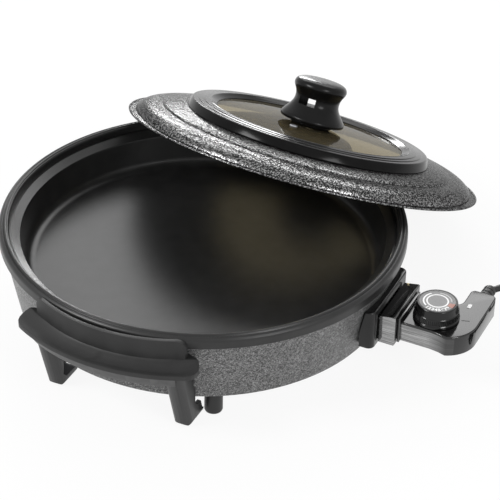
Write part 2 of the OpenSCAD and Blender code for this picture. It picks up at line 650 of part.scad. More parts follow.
module housing_cover() color("#141416") difference() {
    union() {
        difference() {
            translate([0, 0, split_z]) linear_extrude(house_z[1] - split_z) polygon(housing_plan(0));
            translate([0, 0, split_z - 1]) linear_extrude(house_z[1] - housing_wall - split_z + 1)
                polygon(housing_plan(housing_wall));
        }
        for (p = boss_at) translate([p[0], p[1], split_z]) rod_z(6, house_z[1] - split_z - 1);
    }
    for (p = boss_at) translate([p[0], p[1], split_z - 1]) rod_z(2.4, 6);
    boot_hole();
    translate([dial_x, 0, 0]) rod_z(6 + 2 * run_fit, 20);
    box(lens_x, lens_y, [house_z[1] - 3, house_z[1] + 1]);
}

module indicator_lens() color("#f0f0ea")
    box([lens_x[0] + 0.1, lens_x[1] - 0.1], [lens_y[0] + 0.1, lens_y[1] - 0.1],
        [house_z[1] - housing_wall, house_z[1] + 0.4]);

module pilot_lamp() color("#e2ddd0", 0.8) translate([(lens_x[0] + lens_x[1]) / 2, lens_y[0] - 2,
    house_z[1] - housing_wall - 2.6])
    rod_y(4.5, 11);

module housing_screws() color("#c8cacc") for (p = boss_at) translate([p[0], p[1], house_z[0] + 3.2])
    mirror([0, 0, 1]) screw(2.2, 13, 5.4, 1.6);

module thermostat_block() color("#e6e1d4") difference() {
    box(block_x, [-9, 9], [house_z[0] + housing_wall, -3.5]);
    translate([block_x[0] - 3.5, 0, pin_z]) rod_x(probe_d + 0.1, 6);
}

module bimetal_strip() color("#c08a52") {
    box([block_x[0] + 0.5, dial_x + 11.4], [-3, 3], [-3.5, -2.9]);
    box([block_x[0] + 0.5, dial_x - 8.6], [-3, 3], [-2.9, -1.6]);
}

module contact_springs() color("#c9a24e") for (s = [-1, 1]) {
    box([block_x[0] + 1.5, dial_x + 13.4], [s * 6.5 - 2, s * 6.5 + 2], [-3.5, -3]);
    translate([dial_x + 10.4, s * 6.5, -3]) rod_z(3.4, 1.2);
}

module dial_spindle() color("#c4c6c8") translate([dial_x, 0, -2.6]) difference() {
    rod_z(6, 20);
    translate([-4, 2, 14]) cube([8, 4, 10]);
}

dial_z = [house_z[1] + 0.3, house_z[1] + 2.4 + dial_h];
ribs = 72;
module dial_knob() color("#161618") translate([dial_x, 0, 0]) difference() {
    turned([[0, dial_z[0]], [dial_d / 2 + 0.6, dial_z[0]], [dial_d / 2 + 1, dial_z[0] + 0.5],
        [dial_d / 2 + 1, dial_z[0] + 2.6],
        [dial_d / 2, dial_z[0] + 3.6], [dial_d / 2, dial_z[0] + 10.2], [dial_d / 2 - 0.6, dial_z[0] + 10.8],
        [dial_d / 2 - 2, dial_z[1] - 0.6], [dial_d / 2 - 2.6, dial_z[1]], [0, dial_z[1]]]);
    // fine knurl round the lower part
    for (i = [1:ribs]) rotate(360 * i / ribs)
        box([dial_d / 2 - 0.6, dial_d / 2 + 1.5], [-0.45, 0.45], [dial_z[0] + 4.4, dial_z[0] + 9.6]);
    translate([0, 0, dial_z[1] - 0.8]) cylinder(d = dial_plate_d + 0.1, h = 2, $fn = 144);
    difference() {
        translate([0, 0, dial_z[0] - 1]) rod_z(6.04, 12.4);
        translate([-4, 2.05, 11.4]) cube([8, 4, 12]);
    }
}

dial_plate_d = 38.2;
module dial_plate() color("#b9bcc0") translate([dial_x, 0, dial_z[1] - 0.8]) cylinder(d = dial_plate_d,
    h = 0.8, $fn = 144);

// ================= cord =================
boot_l = 16;
lead_turn = -36.9;
coil_c = [330, 180];
coil_lift = 0.8;
coil_in = 24.3;
coil_out = 49.2;
run_route = [[287, 98, -1], [287, 105, -1], [287, 112, -1], [286.8, 123.5, -3.3], [286.4, 133.2, -9.8],
    [285.8, 139.7, -19.5], [285.2, 142, -31], [284.7, 144.3, -42.4], [284.3, 150.8, -52],
    [284.4, 160.5, -58.5], [284.5, 172, -60.7]];
tail_route = [[372, 172, -53.7], [372, 161, -53.7], [372, 150, -53.7]];

function unit(v) = v / norm(v);
function heading(p, i) = unit(p[min(i + 1, len(p) - 1)] - p[max(i - 1, 0)]);
function sweep_ring(p, i, r, n) = let (t = heading(p, i), u = unit(cross(t, [1, 0, 0.1])), w = cross(t, u))
    [for (k = [0:n - 1]) p[i] + r * (cos(360 * k / n) * u + sin(360 * k / n) * w)];
module tube(p, r, n = 8) polyhedron(
    points = [for (i = [0:len(p) - 1]) each sweep_ring(p, i, r, n)],
    faces = concat([[for (k = [n - 1:-1:0]) k]], [[for (k = [0:n - 1]) (len(p) - 1) * n + k]],
        [for (i = [0:len(p) - 2], k = [0:n - 1]) [i * n + k, i * n + (k + 1) % n, (i + 1) * n + (k + 1) % n,
            (i + 1) * n + k]]));

// places the loose lead where its boot lets it go
module on_lead() translate([tail_x, tail_y + boot_l, 0]) rotate(lead_turn) translate([-287, -98, 0])
    children();

module cord_boot() color("#1a1a1c") translate([tail_x, tail_y, split_z]) difference() {
    union() {
        translate([0, -4.5, 0]) rod_y(9, 8);
        translate([0, -5.5, 0]) rod_y(12, 3);
        translate([0, 0.05, 0]) rod_y(11.4, boot_l);
        for (i = [0:2]) translate([0, 0.05 + 6 * i, 0]) rod_y(14.2 - 0.6 * i, 4.6);
        translate([0, boot_l, 0]) sphere(d = 12.2, $fn = 40);
    }
    translate([0, boot_l, 0]) rotate(lead_turn) rod_y(cord_d + 0.04, 20);
}

module cord_run() color("#1d1d1f") on_lead() tube(run_route, cord_d / 2);
module cord_tail() color("#1d1d1f") on_lead() tube(tail_route, cord_d / 2);
module cord_coil() color("#1d1d1f") on_lead() translate([coil_c[0], coil_c[1], table_z + coil_lift])
    turned([
    [coil_in, 0], [coil_out, 0], [coil_out, 7], [coil_out - 3.5, 14.1], [coil_in, 14.1]]);
module cord_tie() color("#e8e8e4") on_lead() translate([coil_c[0], coil_c[1], table_z]) rotate(60)
    difference() {
    translate([coil_in - 0.9, -2, 0]) cube([coil_out - coil_in + 1.7, 4, 15.7]);
    translate([coil_in - 0.2, -3, 0.7]) cube([coil_out - coil_in + 0.3, 6, 14.3]);
}

module at_plug() on_lead() translate([372, 150, -53.7]) rotate([0, -9, -90]) children();
module plug_body() color("#1a1a1c") at_plug() difference() {
    rotate([90, 0, 90]) turned([[0, 0], [4.6, 0], [5.4, 12], [8.5, 15], [14, 24], [17.5, 33], [19, 35],
        [19, 47],
        [18, 48], [0, 48]]);
    for (s = [-1, 1]) translate([40, s * 9.5, 0]) rod_x(4.8, 20);
}
module plug_pins() color("#c6c8ca") at_plug() for (s = [-1, 1]) translate([40, s * 9.5, 0]) {
    rod_x(4.8, 26);
    translate([26, 0, 0]) sphere(d = 4.8, $fn = 32);
}

pan();
outer_skirt();
base_plate();
heat_shield();
shield_spacers();
base_feet();
base_screws();
heating_element();
element_clips();
clip_screws();
terminal_plate();
pin_bushes();
socket_shroud();
shroud_screws();
front_handle();
rear_handle();
handle_washers();
handle_screws();
lid_dome();
lid_glass();
glass_gasket();
glass_ring();
vent_eyelet();
knob_collar();
knob();
knob_washer();
knob_screw();
plug_nose();
pin_sockets();
probe();
housing_base();
housing_cover();
housing_screws();
thermostat_block();
bimetal_strip();
contact_springs();
pilot_lamp();
indicator_lens();
dial_knob();
dial_plate();
dial_spindle();
cord_boot();
cord_run();
cord_coil();
cord_tie();
cord_tail();
plug_body();
plug_pins();
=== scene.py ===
# %% [markdown]
# # A round electric pizza pan
# The cast pan sits in a painted skirt, stands on two moulded handle feet, and is heated by a tube
# under its floor. A thermostat plugs in at the side, and a loose lid with a glass window leans on
# the rear edge. The construction is loaded as a fixed frame, and every piece made here is dressed
# over it in the same place and size.

# %% Load the construction
import bpy, json, math
from mathutils import Vector, Matrix


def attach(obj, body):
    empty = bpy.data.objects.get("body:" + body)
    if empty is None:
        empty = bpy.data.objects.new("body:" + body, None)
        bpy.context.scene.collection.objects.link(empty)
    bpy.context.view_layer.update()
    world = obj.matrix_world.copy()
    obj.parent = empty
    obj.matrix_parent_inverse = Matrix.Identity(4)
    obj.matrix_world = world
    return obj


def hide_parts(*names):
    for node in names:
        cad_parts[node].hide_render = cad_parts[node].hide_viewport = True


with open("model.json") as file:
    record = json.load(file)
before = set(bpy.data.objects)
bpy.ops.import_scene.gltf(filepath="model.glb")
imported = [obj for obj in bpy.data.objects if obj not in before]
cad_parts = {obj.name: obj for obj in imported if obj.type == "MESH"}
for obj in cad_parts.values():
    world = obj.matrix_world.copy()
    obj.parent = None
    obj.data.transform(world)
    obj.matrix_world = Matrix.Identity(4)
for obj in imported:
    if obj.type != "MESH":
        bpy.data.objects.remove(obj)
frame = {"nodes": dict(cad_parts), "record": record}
nodes = frame["nodes"]
scene = bpy.context.scene
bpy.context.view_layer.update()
print("pieces in the frame:", len(nodes))

# %% [markdown]
# ## Camera
# The view looks down into the pan from the front, a little from the thermostat's side. A long
# lens keeps the near and the far rim alike in size. The camera is turned in steps: first the
# heading, then the pitch, then a slight roll.

# %% Camera
MM = 0.001
CAMERA_AT = Vector((748.12, -1490.36, 1135.85)) * MM
HEADING, PITCH_DOWN, ROLL = math.radians(25.0), math.radians(34.08), 0.0228
LENS_MM, SENSOR_MM, FAR_CLIP = 139.53, 36.0, 20.0

camera_data = bpy.data.cameras.new("camera")
camera_data.lens = LENS_MM
camera_data.sensor_width = SENSOR_MM
camera_data.clip_end = FAR_CLIP
camera = bpy.data.objects.new("camera", camera_data)
scene.collection.objects.link(camera)
camera.matrix_world = (Matrix.Translation(CAMERA_AT) @ Matrix.Rotation(HEADING, 4, "Z")
                       @ Matrix.Rotation(math.pi / 2 - PITCH_DOWN, 4, "X")
                       @ Matrix.Rotation(ROLL, 4, "Z"))
scene.camera = camera
print("camera at", [round(v, 3) for v in camera.location])

# %% [markdown]
# ## Small helpers
# Operators act on whatever is selected, so each new piece starts by clearing the selection. When
# a piece is finished its place is moved into its mesh, which leaves the object at the origin, as
# the construction's own pieces are.

# %% Helpers for selecting
def deselect():
    """Leaves nothing selected."""
    for other in list(bpy.context.selected_objects):
        other.select_set(False)


def pick(obj):
    """Makes one piece the only one that operators act on."""
    deselect()
    obj.select_set(True)
    bpy.context.view_layer.objects.active = obj


def settle(obj):
    """Moves the piece's place and turn into its mesh."""
    pick(obj)
    bpy.ops.object.transform_apply(location=True, rotation=True, scale=True)
    return obj


def modify(obj, kind, **settings):
    """Adds a modifier and applies it at once."""
    pick(obj)
    mod = obj.modifiers.new(kind.lower(), kind)
    for key, value in settings.items():
        setattr(mod, key, value)
    bpy.ops.object.modifier_apply(modifier=mod.name)


def smooth(obj, below_degrees=38):
    """Shades the piece as one skin, apart from its real corners."""
    pick(obj)
    bpy.ops.object.shade_smooth_by_angle(angle=math.radians(below_degrees))
    return obj


def edit(obj):
    """Opens a piece in edit mode with nothing selected."""
    pick(obj)
    bpy.ops.object.mode_set(mode="EDIT")
    bpy.ops.mesh.select_all(action="DESELECT")


# %% Helpers for rounding
SHARP_DEGREES = 28      # an edge that turns more than this is a corner
FLAT_DEGREES = 0.4      # faces that turn less than this lie in one plane
DOUBLES = 1e-6          # corners closer than this, in metres, are one corner


def select_edges(obj, wanted):
    """Selects the sharp edges that pass a test, and gives how many they are."""
    bpy.ops.object.mode_set(mode="OBJECT")
    mesh = obj.data
    faces_of = {}
    for face in mesh.polygons:
        for key in face.edge_keys:
            faces_of.setdefault(key, []).append(face.normal)
    count = 0
    for edge in mesh.edges:
        sides = faces_of.get(tuple(sorted(edge.vertices)), [])
        turn = math.degrees(sides[0].angle(sides[1], 0)) if len(sides) == 2 else 0
        ends = [mesh.vertices[i].co / MM for i in edge.vertices]
        middle, along = (ends[0] + ends[1]) / 2, (ends[1] - ends[0]).normalized()
        edge.select = turn > SHARP_DEGREES and wanted(middle, along)
        count += edge.select
    bpy.ops.object.mode_set(mode="EDIT")
    return count


def round_edges(obj, edge_mm, wanted, segments):
    """Bevels the sharp edges that pass a test by their place, in millimetres."""
    edit(obj)
    bpy.ops.mesh.select_mode(type="EDGE")
    count = select_edges(obj, wanted)
    if count:
        bpy.ops.mesh.bevel(offset=edge_mm * MM, segments=segments, profile=0.5, affect="EDGES",
                           clamp_overlap=True)
    bpy.ops.object.mode_set(mode="OBJECT")
    print(obj.name, "rounded", count, "edges")
    return obj


def outward(obj):
    """Merges doubles and turns every face outwards."""
    edit(obj)
    bpy.ops.mesh.select_all(action="SELECT")
    bpy.ops.mesh.remove_doubles(threshold=DOUBLES)
    bpy.ops.mesh.normals_make_consistent(inside=False)
    bpy.ops.object.mode_set(mode="OBJECT")
    return obj


# %% Helpers for cutting and turning
def carve(obj, cutter):
    """Takes a cutter's shape out of a piece and throws the cutter away."""
    modify(obj, "BOOLEAN", operation="DIFFERENCE", object=cutter, solver="EXACT")
    bpy.data.objects.remove(cutter)


def block(low, high):
    """A cutter between two corners in millimetres."""
    deselect()
    bpy.ops.mesh.primitive_cube_add(size=1, location=[(a + b) / 2 * MM for a, b in zip(low, high)])
    bpy.context.object.scale = [(b - a) * MM for a, b in zip(low, high)]
    return settle(bpy.context.object)


def single_point(name):
    """A new piece that is one point at the origin, left open in edit mode."""
    deselect()
    bpy.ops.mesh.primitive_plane_add(size=MM)
    piece = bpy.context.object
    piece.name = piece.data.name = name
    bpy.ops.object.mode_set(mode="EDIT")
    bpy.ops.mesh.select_mode(type="VERT")
    bpy.ops.mesh.select_all(action="SELECT")
    bpy.ops.mesh.merge(type="CENTER")
    return piece


def lathe(name, profile, steps):
    """Turns a chain of (radius, height) points in millimetres round the Z axis."""
    piece = single_point(name)
    points = [Vector((r, 0, z)) * MM for r, z in profile]
    bpy.ops.transform.translate(value=points[0])
    for before, after in zip(points, points[1:]):
        bpy.ops.mesh.extrude_region_move(TRANSFORM_OT_translate={"value": after - before})
    bpy.ops.mesh.select_all(action="SELECT")
    bpy.ops.mesh.spin(steps=steps, angle=2 * math.pi, center=(0, 0, 0), axis=(0, 0, 1))
    bpy.ops.object.mode_set(mode="OBJECT")
    return outward(piece)


def flowing(points, steps):
    """A smooth chain through the given points, with so many steps from each to the next."""
    chain = []
    last = len(points) - 1
    for i in range(last):
        a, b, c, d = (Vector(points[max(0, min(last, i + k))]) for k in (-1, 0, 1, 2))
        for k in range(steps):
            t = k / steps
            chain.append(0.5 * ((2 * b) + (c - a) * t + (2 * a - 5 * b + 4 * c - d) * t * t
                                + (3 * b - a - 3 * c + d) * t ** 3))
    return [tuple(p) for p in chain] + [tuple(points[-1])]


# %% Helpers for standing in for a piece of the construction
BODY_OF = {node: body for body, names in frame["record"]["behaviour"]["bodies"].items()
           for node in names}
made = []


def wear(obj, material):
    """Gives a piece one finish in place of all it had."""
    obj.data.materials.clear()
    obj.data.materials.append(material)
    return obj


def adopt(piece, *node_names):
    """The finished piece takes the place and the body of the construction's, whose piece is hidden.
    """
    settle(piece)
    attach(piece, BODY_OF[node_names[0]])
    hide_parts(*node_names)
    made.append(piece.name)


def traced(node_name, piece_name):
    """A new piece that starts from the outline of one of the construction's."""
    mesh = nodes[node_name].data.copy()
    mesh.name = piece_name
    piece = bpy.data.objects.new(piece_name, mesh)
    scene.collection.objects.link(piece)
    pick(piece)
    bpy.ops.object.mode_set(mode="EDIT")
    bpy.ops.mesh.select_all(action="SELECT")
    bpy.ops.mesh.remove_doubles(threshold=2 * DOUBLES)
    bpy.ops.mesh.dissolve_limited(angle_limit=math.radians(FLAT_DEGREES))
    bpy.ops.object.mode_set(mode="OBJECT")
    return piece


def moulded(node_name, piece_name, material, edge_mm, wanted, segments=3, first=None):
    """Traces a piece, rounds its edges and puts it in the construction's place.

    A first rounding, where there is one, gives its own width, test and segments.
    """
    piece = traced(node_name, piece_name)
    if first:
        round_edges(piece, *first)
    piece = smooth(round_edges(piece, edge_mm, wanted, segments))
    wear(piece, material)
    adopt(piece, node_name)

# %% [markdown]
# ## Mains lead
# A lead is one length of flexible cable. It leaves the boot straight, bends down to the table,
# and the length that nobody needs is wound into a neat flat coil. The route is a chain of points,
# and the coil's turns are worked out by a loop: it winds inwards on the table for two and a half
# turns, climbs onto them and winds outwards again.

# %% Points of the lead
CORD_D = 7.0
COIL_CENTRE = (330.0, 180.0)
TABLE_Z = -65.0
COIL_LIFT = 0.8
RUN = [(287, 98, -1), (287, 105, -1), (287, 112, -1), (286.8, 123.5, -3.3), (286.4, 133.2, -9.8),
       (285.8, 139.7, -19.5), (285.2, 142, -31), (284.7, 144.3, -42.4), (284.3, 150.8, -52),
       (284.4, 160.5, -58.5), (284.5, 172, -60.7)]
TAIL = [(372, 172, -53.7), (372, 161, -53.7), (372, 150, -53.7)]
LEAD_FROM, LEAD_TO = Vector((287, 98, 0)), Vector((287.3, 77.5, 0))
LEAD_TURN = math.radians(-36.9)
LOW, ONE_LAYER = TABLE_Z + COIL_LIFT + CORD_D / 2, CORD_D + 0.05
R_START, R_IN, R_END = 45.5, 28.0, 42.0
LOW_TURNS, CLIMB, ALL_TURNS = 2.5, 0.3, 4.5
STEPS_A_TURN = 24


def coil_place(turn):
    """Radius and height of the lead after so many turns: in below, then out again on top."""
    if turn < LOW_TURNS:
        return R_START + (R_IN - R_START) * turn / LOW_TURNS, LOW
    climb = min(1.0, (turn - LOW_TURNS) / CLIMB)
    climb = climb * climb * (3 - 2 * climb)
    unwound = max(0.0, (turn - LOW_TURNS - CLIMB) / (ALL_TURNS - LOW_TURNS - CLIMB))
    return R_IN + (R_END - R_IN) * unwound, LOW + ONE_LAYER * climb


def coil_points():
    """The chain of points of the whole coil."""
    points = []
    for step in range(int(ALL_TURNS * STEPS_A_TURN) + 1):
        radius, height = coil_place(step / STEPS_A_TURN)
        angle = math.pi - 2 * math.pi * step / STEPS_A_TURN
        points.append((COIL_CENTRE[0] + radius * math.cos(angle),
                       COIL_CENTRE[1] + radius * math.sin(angle), height))
    return points


def lead_place(point):
    """Turns the route to the way the boot lets it go."""
    return (Matrix.Rotation(LEAD_TURN, 3, "Z") @ (Vector(point) - LEAD_FROM) + LEAD_TO) * MM


lead_points = [lead_place(p) for p in RUN + coil_points() + TAIL]
lead_length = sum((b - a).length for a, b in zip(lead_points, lead_points[1:]))
print("lead, from the boot to the plug:", round(lead_length, 3), "m")

# %% [markdown]
# ## Finishes
# Every finish is made of nodes, so it needs no picture. Each one starts from the same surface
# shader, and noise on Object coordinates breaks up its colour and gives its fine relief.

# %% Helpers for finishes
def finish(name, roughness, metallic=0.0, **sockets):
    """A new material; gives it with its node tree and its surface shader."""
    material = bpy.data.materials.new(name)
    material.use_nodes = True
    tree = material.node_tree
    shader = tree.nodes["Principled BSDF"]
    shader.inputs["Roughness"].default_value = roughness
    shader.inputs["Metallic"].default_value = metallic
    for socket, value in sockets.items():
        shader.inputs[socket.replace("_", " ")].default_value = value
    return material, tree, shader


def calculated(tree, operation, *values):
    """One step of arithmetic; each value is another node's output or a plain number."""
    node = tree.nodes.new("ShaderNodeMath")
    node.operation = operation
    for socket, value in zip(node.inputs, values):
        if isinstance(value, (int, float)):
            socket.default_value = value
        else:
            tree.links.new(value, socket)
    return node.outputs[0]


def noise(tree, scale, detail=3.0, rough=0.5, distortion=0.0):
    """Noise that sticks to the piece."""
    place = tree.nodes.new("ShaderNodeTexCoord")
    tex = tree.nodes.new("ShaderNodeTexNoise")
    tex.inputs["Scale"].default_value = scale
    tex.inputs["Detail"].default_value = detail
    tex.inputs["Roughness"].default_value = rough
    tex.inputs["Distortion"].default_value = distortion
    tree.links.new(place.outputs["Object"], tex.inputs["Vector"])
    return tex.outputs["Fac"]


def blended(tree, first, second, share):
    """Adds a share of a second value, centred on zero, to a first one."""
    both = calculated(tree, "MULTIPLY_ADD", second, share, first)
    return calculated(tree, "SUBTRACT", both, share / 2)


def ramp(tree, fac, stops):
    """Turns a value into a colour through the given stops."""
    node = tree.nodes.new("ShaderNodeValToRGB")
    tree.links.new(fac, node.inputs["Fac"])
    points = node.color_ramp.elements
    while len(points) < len(stops):
        points.new(0.5)
    for point, (at, colour) in zip(points, stops):
        point.position = at
        point.color = (*colour, 1.0)
    return node.outputs["Color"]


def relief(tree, shader, height, distance):
    """Fine relief from a height value; the distance is its depth in metres."""
    bump = tree.nodes.new("ShaderNodeBump")
    bump.inputs["Distance"].default_value = distance
    bump.inputs["Strength"].default_value = 1.0
    tree.links.new(height, bump.inputs["Height"])
    tree.links.new(bump.outputs["Normal"], shader.inputs["Normal"])


def grey(value):
    """A grey with the same share of red, green and blue."""
    return (value, value, value)


def tinted_noise(name, scale, dark, light, roughness, metallic=0.0, bump=0.00003, bump_scale=None,
                 **sockets):
    """A plain finish whose colour drifts between two close tones, over a fine grain."""
    material, tree, shader = finish(name, roughness, metallic, **sockets)
    colour = ramp(tree, noise(tree, scale), [(0.3, dark), (0.7, light)])
    tree.links.new(colour, shader.inputs["Base Color"])
    relief(tree, shader, noise(tree, bump_scale or scale * 6), bump)
    return material

# %% [markdown]
# ### Hammered paint
# The skirt and the lid wear a silver-and-black hammered paint: metal flakes float into small
# raised worms. A noise that is swirled by its own distortion gives the worms, and a coarser one
# adds faint patches. The same height gives both the colour and the relief, so the colour is darker
# in the
# hollows and lighter on the worms: partly the paint's flecks, partly painted shade and painted
# highlight.

# %% Hammered paint
MIDDLE = 0.52           # the height at which the middle tone lies
PATCH_SCALE, PATCH_SHARE = 0.21, 0.07


def hammered_paint(name, dark, mid, light, scale, depth, roughness, metallic, edge_tint, spread,
                   swirl):
    """Worms lighter than the hollows, partly the paint's flecks and partly painted highlight and
    shade; the swirl is how much the noise is stretched.
    """
    material, tree, shader = finish(name, roughness, metallic,
                                    Specular_Tint=(*grey(edge_tint), 1.0))
    worms = noise(tree, scale, 2.0, 0.55, distortion=swirl)
    patches = noise(tree, scale * PATCH_SCALE, 1.0)
    height = blended(tree, worms, patches, PATCH_SHARE)
    # colour from the relief height: the paint's flecks, with painted shade in the hollows and
    # painted highlight on the worms
    colour = ramp(tree, height, [(MIDDLE - spread, dark), (MIDDLE, mid), (MIDDLE + spread, light)])
    tree.links.new(colour, shader.inputs["Base Color"])
    relief(tree, shader, height, depth)
    return material


skirt_paint = hammered_paint("hammered_paint_skirt", grey(0.035), grey(0.13), grey(0.30),
                             scale=640, depth=0.0006, roughness=0.36, metallic=0.30,
                             edge_tint=1.0, spread=0.08, swirl=1.6)
lid_paint = hammered_paint("hammered_paint_lid", grey(0.03), grey(0.15), grey(0.33),
                           scale=620, depth=0.00026, roughness=0.22, metallic=1.0,
                           edge_tint=0.45, spread=0.07, swirl=0.2)
print("hammered paints:", skirt_paint.name, lid_paint.name)

# %% [markdown]
# ### Coatings, plastics and metals
# The non-stick coating is a satin black with a very fine grain. Handles are moulded with a spark
# texture, which stays dull, while the thermostat is polished to a high gloss. The knob and the
# ring round the glass are deep blacks that reflect little.

# %% Other finishes
coating = tinted_noise("non_stick_coating", 60, grey(0.008), grey(0.014), 0.34, bump=0.00002,
                       bump_scale=2500)
handle_plastic = tinted_noise("moulded_handle", 40, grey(0.015), grey(0.021), 0.44, bump=0.00004,
                              bump_scale=1400, Specular_IOR_Level=0.4)
gloss = dict(scale=30, dark=grey(0.004), light=grey(0.007), roughness=0.10, bump=0.000006,
             bump_scale=220)
housing_black = tinted_noise("housing_black_plastic", IOR=1.6, **gloss)
plug_black = tinted_noise("plug_black_plastic", IOR=1.9, **gloss)
deep = dict(dark=grey(0.003), light=grey(0.006))
deep_black = tinted_noise("socket_black_plastic", 30, roughness=0.14, bump=0.000006, bump_scale=260,
                          Specular_IOR_Level=0.4, **deep)
knob_black = tinted_noise("knob_plastic", 30, roughness=0.25, bump=0.00001, bump_scale=400,
                          Specular_IOR_Level=0.20, **deep)
satin_black = tinted_noise("ring_plastic", 40, roughness=0.16, bump=0.00001, bump_scale=700,
                           Specular_IOR_Level=0.12, **deep)
soft_black = tinted_noise("black_rubber", 80, grey(0.012), grey(0.02), 0.42, bump_scale=1200)
lead_black = tinted_noise("lead_sheath", 80, grey(0.010), grey(0.016), 0.36, bump=0.00001,
                          bump_scale=1200)
gasket_grey = tinted_noise("silicone_gasket", 60, grey(0.10), grey(0.14), 0.5)
zinc = tinted_noise("zinc_plated_sheet", 90, (0.45, 0.46, 0.48), (0.60, 0.61, 0.63), 0.34, 1.0,
                    bump_scale=700)
screw_steel = tinted_noise("screw_steel", 120, (0.5, 0.5, 0.52), (0.68, 0.68, 0.7), 0.28, 1.0,
                           bump_scale=900)
sheath_steel = tinted_noise("heater_sheath", 90, (0.12, 0.11, 0.11), (0.22, 0.21, 0.2), 0.5, 1.0,
                            bump_scale=600)
ceramic = tinted_noise("white_ceramic", 90, (0.72, 0.69, 0.62), (0.8, 0.78, 0.72), 0.6)
brass = tinted_noise("contact_brass", 90, (0.55, 0.38, 0.14), (0.68, 0.5, 0.22), 0.3, 1.0)
copper = tinted_noise("bimetal_copper", 90, (0.6, 0.33, 0.2), (0.72, 0.45, 0.3), 0.35, 1.0)
white_lens = tinted_noise("white_lens", 60, grey(0.75), grey(0.82), 0.25)
white_print = tinted_noise("white_print", 60, grey(0.80), grey(0.86), 0.45)
grey_print = tinted_noise("grey_print", 60, grey(0.14), grey(0.18), 0.45)
ink_black = tinted_noise("black_print", 60, grey(0.006), grey(0.010), 0.40)
pale_print = tinted_noise("pale_print", 60, grey(0.50), grey(0.56), 0.40)
red_print = tinted_noise("red_print", 60, (0.36, 0.16, 0.13), (0.42, 0.21, 0.17), 0.45)
tie_white = tinted_noise("cable_tie", 60, grey(0.7), grey(0.78), 0.45)
print("plain finishes: ready, from", coating.name, "to", tie_white.name)

# %% [markdown]
# ### Painted sheen on the front walls
# The front walls of the housing and of the plug get a painted sheen. They are made lighter and
# metallic, so they shine lighter than the polished tops. The sheen is laid in fine horizontal
# lines, a noise squeezed in height.
# It lies only on the plane of the front wall, a band under the rim keeps the plain black, and the
# sheen fades to one side.

# %% Painted sheen on the front walls
SHEEN_FROM, SHEEN_FULL = 0.4, 0.1       # how far behind the wall, in millimetres
RIM_SOFT = 0.6                          # how slowly they end under the rim, in millimetres
FADED, DARK_LINE = 0.1, 0.35            # shares of the full light
BLACK_WITHOUT_SHEEN, PAINTED_SHEEN_GREY = grey(0.005), grey(0.42)


def painted_front_sheen(material, front_y_mm, fade_from_mm, fade_to_mm, up_to_mm):
    """Paints a sheen of light lines onto a finish, on the wall at one depth and up to one height.
    """
    tree = material.node_tree
    shader = tree.nodes["Principled BSDF"]
    place = tree.nodes.new("ShaderNodeTexCoord")
    parts = tree.nodes.new("ShaderNodeSeparateXYZ")
    tree.links.new(place.outputs["Object"], parts.inputs[0])

    def between(axis, low, high, to_low, to_high):
        node = tree.nodes.new("ShaderNodeMapRange")
        numbers = {"From Min": low * MM, "From Max": high * MM, "To Min": to_low, "To Max": to_high}
        for socket, number in numbers.items():
            node.inputs[socket].default_value = number
        tree.links.new(parts.outputs[axis], node.inputs["Value"])
        return node.outputs["Result"]

    squeezed = tree.nodes.new("ShaderNodeMapping")
    squeezed.inputs["Scale"].default_value = (30, 30, 900)
    lines = tree.nodes.new("ShaderNodeTexNoise")
    lines.inputs["Scale"].default_value = 1.0
    tree.links.new(place.outputs["Object"], squeezed.inputs["Vector"])
    tree.links.new(squeezed.outputs["Vector"], lines.inputs["Vector"])
    # painted sheen: full on the front wall's plane, it ends under the rim and fades to one side
    share = between("Y", front_y_mm + SHEEN_FROM, front_y_mm + SHEEN_FULL, 0, 1)
    for limit in (between("Z", up_to_mm, up_to_mm + RIM_SOFT, 1, 0),
                  between("X", fade_from_mm, fade_to_mm, 1, FADED),
                  ramp(tree, lines.outputs["Fac"], [(0.3, grey(DARK_LINE)), (0.7, grey(1.0))])):
        share = calculated(tree, "MULTIPLY", share, limit)
    # the sheen's share makes the wall metallic and light grey, a painted reflection
    tree.links.new(share, shader.inputs["Metallic"])
    shade = tree.nodes.new("ShaderNodeMix")
    shade.data_type = "RGBA"
    shade.inputs["A"].default_value = (*BLACK_WITHOUT_SHEEN, 1)
    shade.inputs["B"].default_value = (*PAINTED_SHEEN_GREY, 1)
    tree.links.new(share, shade.inputs["Factor"])
    tree.links.new(shade.outputs["Result"], shader.inputs["Base Color"])


# painted sheen on the front walls of the housing and of the plug
painted_front_sheen(housing_black, front_y_mm=-24.1, fade_from_mm=258, fade_to_mm=280, up_to_mm=4.2)
painted_front_sheen(plug_black, front_y_mm=-32.5, fade_from_mm=231, fade_to_mm=260, up_to_mm=14.5)
print("front walls drawn on", housing_black.name, "and", plug_black.name)

# %% [markdown]
# ### Brushed dial face
# The dial's face is a thin aluminium disc, brushed in circles. Rings of very fine noise, read
# from the distance to the dial's axis, give the brushing. The distance comes from a gradient that
# falls over one metre, so the dial is enlarged first and its rings fill a good part of it.

# %% Brushed dial face
DIAL_X, DIAL_TOP = 258.6, 26.4
ENLARGED = 20


